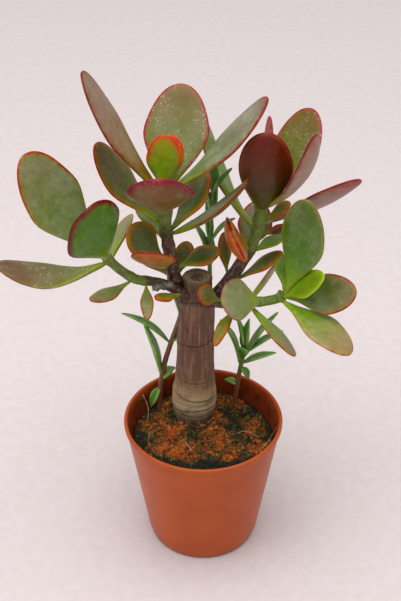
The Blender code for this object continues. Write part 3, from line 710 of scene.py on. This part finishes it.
def shape_leaf(obj, size, seed):
    """Draws a sphere out along +X into a thick blade with a fine edge, and measures its surface."""
    share, ring, across, up = read_sphere(obj)
    half_width = size["width"] / 2 * ring * blade_width(share, size["neck"])
    swell = 1.08 - 0.3 * share                          # thinner towards its tip
    half_thickness = size["thickness"] / 2 * ring ** 0.6 * swell
    lens = np.sign(up) * np.abs(up) ** 1.45             # a fine edge
    dip = 0.10 * size["thickness"] * np.exp(-(across / 0.35) ** 2) * (up > 0) * share * (1 - share) * 4
    lift = size["arch"] * 4 * share * (1 - share) + size["cup"] * across ** 2 * half_width - dip
    reach = size["reach"] * np.maximum(0, 1 - share / 0.14) ** 1.5
    rng = random.Random(seed)
    sway = rng.uniform(-0.03, 0.03) * size["width"] * np.sin(share * math.pi * 1.5)
    co = np.column_stack([size["length"] * share - reach, across * half_width + sway,
                          lens * half_thickness + lift])
    co[:, 2] += 0.10 * MM * lumps(co, 6 * MM, seed)
    co[:, 1] *= 1 + 0.03 * lumps(co, 9 * MM, seed + 40)

    # How far each corner is from the leaf's rim
    rim = co[np.abs(up) < 0.02]
    tree = KDTree(len(rim) * 4)
    order = rim[np.lexsort((rim[:, 0], rim[:, 1] > 0))]
    for index, (a, b) in enumerate(zip(order, order[1:])):
        if np.linalg.norm(b - a) < 5 * MM:
            for part in range(4):
                tree.insert(Vector(a + (b - a) * part / 4), index)
    tree.balance()
    edge = np.array([tree.find(Vector(p))[2] for p in co]) / MM
    set_corners(obj, co @ size["turn"] + size["foot"])
    set_attributes(obj, along=share, face=np.clip(0.5 + 2.5 * up, 0, 1), edge=edge,
                   tone=np.full(len(co), rng.uniform(0.82, 0.94)))


def make_leaf(node, material, seed):
    bpy.ops.mesh.primitive_uv_sphere_add(segments=40, ring_count=30, radius=1)
    leaf = bpy.context.object
    shape_leaf(leaf, leaf_measure(node), seed)
    finish_piece(leaf, node + "_blade", material, [node])


def make_leaves():
    skins = {}
    for seed, (node, look) in enumerate(LEAF_LOOKS.items()):
        if look not in skins:
            skins[look] = jade_leaf_skin("jade leaf " + look.replace("_", " "), **LOOKS[look])
        make_leaf(node, skins[look], seed)


# ---------------------------------------------------------------- green stems

def make_stem(name, material):
    """A green stem, thick where it leaves the trunk and ringed where each leaf stands."""
    radii = [diameter / 2 * MM for diameter in STEMS[name]["diameters"]]
    points = stem_points(name)
    inside = Vector((TRUNK_CENTRE.x + 1.0 * MM, TRUNK_CENTRE.y, points[0].z - 3 * MM))
    root = points[0].lerp(inside, 0.75)
    route = smooth_route([root, points[0].lerp(inside, 0.25), *points[1:]], ROUTE_STEPS)
    lengths = lengths_along(route)
    share = lengths / lengths[-1]
    radius = radii[0] + (radii[1] - radii[0]) * share
    radius = radius * (1 + 0.35 * np.exp(-(lengths / (3.5 * MM)) ** 2))
    for node in LEAF_LOOKS:
        if stem_of(node) == name:
            foot = Vector(leaf_measure(node)["foot"])
            place = lengths[min(range(len(route)), key=lambda i: (route[i] - foot).length)]
            radius = radius * (1 + 0.10 * np.exp(-((lengths - place) / (1.1 * MM)) ** 2))
    radius = radius * np.sqrt(np.clip((1.02 - share) / 0.03, 0.15, 1))
    stem = make_tube(route, list(radius), resolution=6)
    co = corners(stem)
    nearest = [min(range(len(route)), key=lambda i: (route[i] - Vector(c)).length_squared) for c in co]
    outward = co - np.array(route)[nearest]
    set_attributes(stem, green=np.clip((share[nearest] - STEMS[name]["woody"]) / 0.3 + 0.5, 0, 1))
    set_corners(stem, co + outward * (0.06 * lumps(co, 2.5 * MM, 3))[:, None])
    finish_piece(stem, name + "_stem", material, [name])


def make_stems():
    material = green_stem_bark()
    for name in STEMS:
        make_stem(name, material)


# ---------------------------------------------------------------- trunk

# Grooves round the trunk, in millimetres: height, depth, width, and how far each tilts across it
TRUNK_GROOVES = [(49.7, 0.3, 0.3, 0.6), (54.5, 0.32, 0.32, -1.2), (52.2, 0.1, 0.4, 0.4),
                 (47.6, 0.16, 0.4, -0.5), (61.6, 0.25, 0.3, -0.6), (77.4, 0.35, 0.4, 1.2),
                 (94.4, 0.3, 0.5, 0.4), (69.0, 0.06, 0.3, 0.5), (86.0, 0.06, 0.3, -0.5)]


def trunk_radius(z):
    """The trunk's radius at a height: a swollen foot, a long straight part and a narrow stub."""
    heights = [27, 43, 47, 51, 55, 57.5, 61, 66, 78, 90, 93.4, 94.6, 98, 101.4]
    radii = [5.3, 6.9, 7.5, 7.75, 7.6, 7.1, 6.7, 6.5, 6.3, 6.15, 6.1, 5.2, 4.95, 5.0]
    return np.interp(z / MM, heights, radii) * MM


def make_trunk():
    # The cut face's shallow dish, its rounded edge, and the side down to the end in the soil
    profile = [(0, TRUNK_TOP - 0.9 * MM)]
    profile += [(0.4 * MM * i, TRUNK_TOP - (0.9 - 0.006 * i * i) * MM) for i in range(1, 10)]
    profile += [(4.0 * MM, TRUNK_TOP - 0.1 * MM), (4.4 * MM, TRUNK_TOP), (4.8 * MM, TRUNK_TOP - 0.3 * MM)]
    step = 0.4 * MM
    count = int((TRUNK_TOP - 0.8 * MM - 27.5 * MM) / step)
    profile += [(trunk_radius(z), z) for z in (TRUNK_TOP - 0.8 * MM - step * i for i in range(count))]
    profile += [(5 * MM, TRUNK_BOTTOM), (0, TRUNK_BOTTOM)]
    trunk = turn_profile(profile, 96)

    # Grooves with their painted shade, and the bark's own unevenness
    co = corners(trunk)
    angle = np.arctan2(co[:, 1], co[:, 0])
    radius = np.hypot(co[:, 0], co[:, 1])
    z = co[:, 2]
    side = z < TRUNK_TOP - 0.7 * MM
    change = np.zeros(len(co))
    groove = np.zeros(len(co))
    for height, depth, width, tilt in TRUNK_GROOVES:
        wave = 0.25 * np.sin(3 * angle + height)
        distance = (z / MM - height - tilt * np.cos(angle) - wave) / width
        change -= depth * MM * np.exp(-distance ** 2)
        change += 0.35 * depth * MM * np.exp(-(np.abs(distance) - 2.0) ** 2)
        # Painted shade in this groove, darker for a deeper groove
        groove += min(1, depth * 2.4) * np.exp(-(distance * 1.3) ** 2)
    streaks = lumps(np.column_stack([co[:, 0], co[:, 1], z * 0.12]), 0.9 * MM, 7)
    swell = lumps(co, 5 * MM, 11)
    cracks = lumps(co, 1.6 * MM, 19)
    change += (0.10 * streaks + 0.22 * swell + 0.06 * cracks) * MM
    scale = np.where(side & (radius > 1 * MM), 1 + change / np.maximum(radius, 1 * MM), 1)
    co[:, 0] *= scale
    co[:, 1] *= scale
    rings = 0.06 * MM * np.sin(radius / MM * 9) + 0.12 * MM * lumps(co, 1.5 * MM, 23)
    co[:, 2] += np.where(side, 0, rings)

    # Leaned about where it leaves the ground
    co[:, 2] -= GROUND_Z
    co = co @ np.array(Matrix.Rotation(TRUNK_LEAN, 3, "Y")).T
    co += np.array([TRUNK_CENTRE.x - TRUNK_DRAWN_LEFT, TRUNK_CENTRE.y, GROUND_Z])
    set_corners(trunk, co)
    set_attributes(trunk, groove=np.clip(np.where(side, groove, 0), 0, 0.85),
                   cut=np.where(side, 0, np.clip((4.6 * MM - radius) / (0.5 * MM), 0, 0.9)),
                   radius=radius / MM)
    finish_piece(trunk, "trunk_bark", old_bark(), ["trunk"])


# ---------------------------------------------------------------- pot and what fills it

def make_pot():
    # Up the inside, over the lip, down the outside and under the foot
    lip_bottom = POT_HEIGHT - LIP_HEIGHT
    under_lip = BASE_RADIUS + (RIM_RADIUS - LIP_PROUD - BASE_RADIUS) * 0.985
    profile = [(0, POT_FLOOR), (inner_wall_radius(POT_FLOOR), POT_FLOOR)]
    profile += [(inner_wall_radius(z), z) for z in np.linspace(4 * MM, 48.5 * MM, 14)]
    inner = inner_wall_radius(POT_HEIGHT)
    profile += [(inner, POT_HEIGHT - 0.5 * MM), (inner + 0.15 * MM, POT_HEIGHT - 0.15 * MM),
                (inner + 0.5 * MM, POT_HEIGHT), (RIM_RADIUS - 0.45 * MM, POT_HEIGHT),
                (RIM_RADIUS - 0.12 * MM, POT_HEIGHT - 0.14 * MM), (RIM_RADIUS, POT_HEIGHT - 0.5 * MM),
                (RIM_RADIUS - 0.02 * MM, lip_bottom + 0.4 * MM), (RIM_RADIUS - 0.2 * MM, lip_bottom),
                (under_lip, lip_bottom - 0.35 * MM)]
    profile += [(inner_wall_radius(z) + POT_WALL, z) for z in np.linspace(46 * MM, 3 * MM, 14)]
    base = BASE_RADIUS
    profile += [(base + 0.1 * MM, 1.8 * MM), (base - 0.15 * MM, 0.9 * MM), (base - 0.6 * MM, 0.3 * MM),
                (base - 1.3 * MM, 0), (base - 3 * MM, 0), (0, 0)]
    pot = turn_profile(profile, ROUND_STEPS)
    for index in range(DRAIN_COUNT):
        angle = math.tau * (index + 0.5) / DRAIN_COUNT
        place = (DRAIN_CIRCLE_RADIUS * math.cos(angle), DRAIN_CIRCLE_RADIUS * math.sin(angle), 0)
        bpy.ops.mesh.primitive_cylinder_add(vertices=32, radius=DRAIN_RADIUS, depth=4 * MM,
                                            location=place)
        cutter = bpy.context.object
        hole = pot.modifiers.new("drain", "BOOLEAN")
        hole.operation = "DIFFERENCE"
        hole.object = cutter
        apply_modifiers(pot)
        bpy.data.objects.remove(cutter)
    co = corners(pot)
    radius = np.hypot(co[:, 0], co[:, 1])
    inside = (radius < RIM_RADIUS - 1.2 * MM) & (co[:, 2] > 1 * MM)
    inside &= radius < np.array([inner_wall_radius(z) for z in co[:, 2]]) + 0.3 * MM
    # The inside wall's painted shade and dirt, stronger the further below the rim
    set_attributes(pot, inside=inside * np.clip((POT_HEIGHT - 0.3 * MM - co[:, 2]) / (3 * MM), 0, 0.8))
    finish_piece(pot, "pot_shell", terracotta_plastic(), ["pot"])
    bpy.ops.object.shade_smooth_by_angle(angle=math.radians(40))


def ground_height(x, y):
    """The moss's own surface: a mound with lumps."""
    x, y = np.asarray(x), np.asarray(y)
    flat = np.column_stack([x, y, np.zeros(len(x))])
    return MOSS_Z + mound(x, y) + (0.5 * lumps(flat, 5 * MM, 31) + 0.3 * lumps(flat, 2 * MM, 37)) * MM


def make_ground():
    """The matted layer that the moss tufts stand on: dark moss, painted darker still as shade between
    them.
    """
    edge = inner_wall_radius(MOSS_Z) - 0.25 * MM
    rings = [(edge * i / 40, MOSS_Z) for i in range(41)]
    under = MOSS_Z - 1.6 * MM
    profile = rings + [(edge, under), (0, under)]
    ground = turn_profile(profile, ROUND_STEPS)
    co = corners(ground)
    top = co[:, 2] > MOSS_Z - 0.2 * MM
    lifted = ground_height(co[:, 0], co[:, 1])
    co[:, 2] = np.where(top, lifted, under + mound(co[:, 0], co[:, 1]) * 0.9)
    set_corners(ground, co)
    # A tone as low as the tufts' shaded roots: painted shade between the tufts
    set_attributes(ground, tone=np.full(len(co), 0.05))
    material = moss_carpet("moss mat", "#120E0A", "#2C2012", "#4A3418")
    finish_piece(ground, "moss_mat", material, ["moss"])


def model_tuft():
    """One tuft of moss: a few short, pointed shoots that lean out from their shared root."""
    shoots = []
    length, thickness, lean = 1.1 * MM, 0.17 * MM, 0.55
    for index in range(5):
        bpy.ops.mesh.primitive_cone_add(vertices=3, radius1=thickness, radius2=0, depth=length,
                                        end_fill_type="TRIFAN")
        shoot = bpy.context.object
        shoot.location = (0, 0, length / 2)
        select_only(shoot)
        bpy.ops.object.transform_apply()
        shoot.rotation_euler = (0, lean if index else 0, index * math.tau / 4)
        bpy.ops.object.transform_apply()
        shoots.append(shoot)
    select_only(*shoots)
    bpy.ops.object.join()
    return bpy.context.object


def scatter(model, places, name, material, tones):
    """Many copies of one small model, each turned, sized and toned by itself, as one piece."""
    co = corners(model)
    faces = [tuple(p.vertices) for p in model.data.polygons]
    height = co[:, 2] / max(1e-9, co[:, 2].max())
    points, polygons, tone = [], [], []
    for index, (place, turn, size) in enumerate(places):
        moved = (co * size) @ np.array(turn.to_matrix()).T + np.array(place)
        points.append(moved)
        polygons += [tuple(v + index * len(co) for v in face) for face in faces]
        # Darker towards each tuft's root, lighter at its tips: painted shade
        tone.append(tones[index] + 0.35 * height)
    mesh = bpy.data.meshes.new(name)
    mesh.from_pydata(np.concatenate(points).tolist(), [], polygons)
    obj = bpy.data.objects.new(name, mesh)
    bpy.context.scene.collection.objects.link(obj)
    set_attributes(obj, tone=np.concatenate(tone))
    finish_piece(obj, name, material)


# The kinds of moss tuft: the drift above which each grows, and its colours from root to tip
MOSS_TUFTS = {
    "rust": (0.2, "#7C2A04", "#D0600E", "#F0A042"),
    "brown": (0.0, "#5E2A08", "#A0500C", "#D09234"),
    "green": (-0.24, "#1E240C", "#4C521A", "#8A8632"),
    # Near-black tufts: darker moss, and painted shade by the wall and the front edge
    "dark": (-math.inf, "#0C0C08", "#221E0E", "#4A4020"),
}


def make_moss():
    """Tufts of four kinds: rust and brown in drifts across the middle, green and dark round them."""
    rng = random.Random(4)
    tuft = model_tuft()
    kinds = {kind: [] for kind in MOSS_TUFTS}
    edge = inner_wall_radius(MOSS_Z) - 0.8 * MM
    while sum(len(k) for k in kinds.values()) < TUFT_COUNT:
        angle, distance = rng.uniform(0, math.tau), edge * math.sqrt(rng.random())
        x, y = distance * math.cos(angle), distance * math.sin(angle)
        if math.hypot(x - TRUNK_CENTRE.x, y - TRUNK_CENTRE.y) < TUFTS_START:
            continue
        # Rust and brown gather in front of the trunk; the wall and front edge get dark tufts: painted
        # shade
        drift = 0.7 * noise.noise(Vector((x, y, 0)) / (8 * MM))
        drift += 0.4 * noise.noise(Vector((x, y, 5 * MM)) / (2.5 * MM)) + rng.uniform(-0.35, 0.35)
        drift += 0.35 * math.exp(-((x + 9 * MM) ** 2 + (y + 5 * MM) ** 2) / (8 * MM) ** 2)
        drift += 0.3 * math.exp(-((x - 12 * MM) ** 2 + (y + 4 * MM) ** 2) / (6 * MM) ** 2)
        drift -= 1.2 * max(0, distance / edge - 0.8) + 0.2 * max(0, -10.5 - y / MM) + 0.05
        kinds[next(kind for kind, (least, *_) in MOSS_TUFTS.items() if drift > least)].append((x, y))
    for kind, spots in kinds.items():
        heights = ground_height([s[0] for s in spots], [s[1] for s in spots])
        places = []
        for (x, y), z in zip(spots, heights):
            turn = (Matrix.Rotation(rng.uniform(0, math.tau), 3, "Z")
                    @ Matrix.Rotation(rng.uniform(0, 0.5), 3, "X"))
            places.append(((x, y, z - 0.25 * MM), turn.to_quaternion(), rng.uniform(0.55, 1.25)))
        tones = [rng.uniform(-0.3, 0.45) for _ in places]
        skin = moss_carpet("moss " + kind, *MOSS_TUFTS[kind][1:])
        scatter(tuft, places, "moss_" + kind, skin, tones)
    bpy.data.objects.remove(tuft)


def make_soil():
    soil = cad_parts["soil"]
    soil.data.materials.clear()
    soil.data.materials.append(potting_soil())


# Dry stalks on the moss, in millimetres: where each starts, and the offsets that it passes through
DRY_STALKS = [
    ((-20, 8, 41), 0.28, [(0, 0, 0), (0.6, 0, 4), (0.2, 0.2, 8), (-1.2, 0.5, 12)]),
    ((-17, -8, 41), 0.16, [(0, 0, 0), (-1.2, -0.5, 3), (-1.8, -0.5, 6), (-1.3, 0, 9)]),
    ((-4, -9, 42.6), 0.16, [(0, 0, 0), (-1.2, 1.2, 1.2), (-2.2, 1.5, 2.6), (-1.9, 1.8, 5.5)]),
    ((12, 0, 42.4), 0.22, [(0, 0, 0), (2, 0.4, 0.8), (4.5, -0.2, 0.6), (7, -1.6, 0.2)]),
    ((20, -7, 41), 0.09, [(0, 0, 0), (2.5, 1.4, 3), (4.6, 2.6, 6.5), (6.8, 3.4, 9.5)]),
    ((20, 6, 41), 0.16, [(0, 0, 0), (0.2, 0.1, 2.5), (0.5, 0.1, 5)]),
    ((14.5, 12, 41.5), 0.12, [(0, 0, 0), (0.5, 0.3, 2), (0.9, 0.2, 4)]),
]


def make_dead_stub(material):
    """The grey, shrivelled stub of a twig that broke off above the left shoot's foot."""
    points = [Vector(p) * MM for p in ((-10.2, 4.4, 102.4), (-12.0, 3.4, 102.7), (-14.0, 3.0, 102.6),
                                       (-15.8, 2.8, 102.3), (-16.6, 2.9, 102.1))]
    route = smooth_route(points, 6)
    radii = [(1.15 + 0.25 * math.sin(i * 0.9)) * MM for i in range(len(route) - 3)]
    radii += [0.9 * MM, 0.6 * MM, 0.2 * MM]
    stub = make_tube(route, radii, resolution=4)
    co = corners(stub)
    set_corners(stub, co + (0.25 * MM * lumps(co, 1.2 * MM, 51))[:, None] * np.array([0.2, -0.6, 0.7]))
    finish_piece(stub, "dead_twig_stub", material)


def make_stalks(material):
    stalks = []
    for start, radius, offsets in DRY_STALKS:
        points = [(Vector(start) + Vector(offset)) * MM for offset in offsets]
        route = smooth_route(points, 6)
        radii = [radius * MM * (1 - 0.6 * i / len(route)) for i in range(len(route))]
        stalks.append(make_tube(route, radii, resolution=1))
    select_only(*stalks)
    bpy.ops.object.join()
    finish_piece(bpy.context.object, "dry_stalks", material)


# ---------------------------------------------------------------- narrow sprigs

def make_blade(length, width, seed):
    """A narrow leaf along +X: a flattened, pointed blade, folded a little along its middle."""
    bpy.ops.mesh.primitive_uv_sphere_add(segments=12, ring_count=14, radius=1)
    blade = bpy.context.object
    share, ring, across, up = read_sphere(blade)
    taper = np.minimum(1, 0.35 + share * 2) * np.minimum(1, (1.05 - share) * 2.2) ** 0.7
    half_width = width / 2 * ring ** 0.7 * taper
    bend = random.Random(seed).uniform(0.02, 0.09) * length
    lift = 0.35 * np.abs(across) * half_width + bend * 4 * share * (1 - share)
    half_thickness = (0.3 * MM + 0.12 * width) * ring ** 0.7
    co = np.column_stack([length * share, across * half_width, up * half_thickness + lift - bend / 2])
    set_corners(blade, co)
    set_attributes(blade, across=np.abs(across), along=share, woody=np.zeros(len(co)))
    return blade


def make_sprig(name, material):
    sprig = SPRIGS[name]
    x, y = sprig["foot"]
    ground = Vector((x * MM, y * MM, SOIL_Z + mound(x * MM, y * MM)))
    points = [ground - Vector((0, 0, 4.5 * MM))]
    points += [ground + (Vector(offset) + Vector((0, 0, 1.4))) * MM for offset in sprig["route"]]
    route = smooth_route(points, 6)
    r0, r1 = (diameter / 2 * MM for diameter in sprig["diameters"])
    radii = [r0 + (r1 - r0) * i / (len(route) - 1) for i in range(len(route))]
    stem = make_tube(route, radii, resolution=2)
    heights = corners(stem)[:, 2]
    woody = np.clip(1.6 - (heights - ground.z) / (sprig["woody"] * MM), 0.05, 0.95)
    set_attributes(stem, woody=woody, across=np.full(len(woody), 0.5), along=np.full(len(woody), 0.3))
    lengths = lengths_along(route)
    pieces = []
    for seed, (share, azimuth, rise, length, width) in enumerate(sprig["leaves"]):
        blade = make_blade(length * MM, width * NARROW_LEAF_FULLNESS * MM, seed)
        index = int(np.searchsorted(lengths, share * lengths[-1]))
        along, side = polar(azimuth, rise), polar(azimuth + 90)
        turn = Matrix((along, side, along.cross(side))).transposed()
        co = corners(blade) @ np.array(turn).T + np.array(route[min(index, len(route) - 1)])
        set_corners(blade, co)
        pieces.append(blade)
    select_only(*pieces, stem)
    bpy.ops.object.join()
    finish_piece(bpy.context.object, name + "_greens", material, [name])


# ---------------------------------------------------------------- the whole plant

make_camera()
make_light()
make_floor()
make_pot()
make_soil()
make_ground()
make_moss()
make_stalks(dry_straw())
make_trunk()
make_stems()
make_dead_stub(dead_twig_skin())
make_leaves()
narrow_green = narrow_leaf_skin()
for sprig_name in SPRIGS:
    make_sprig(sprig_name, narrow_green)
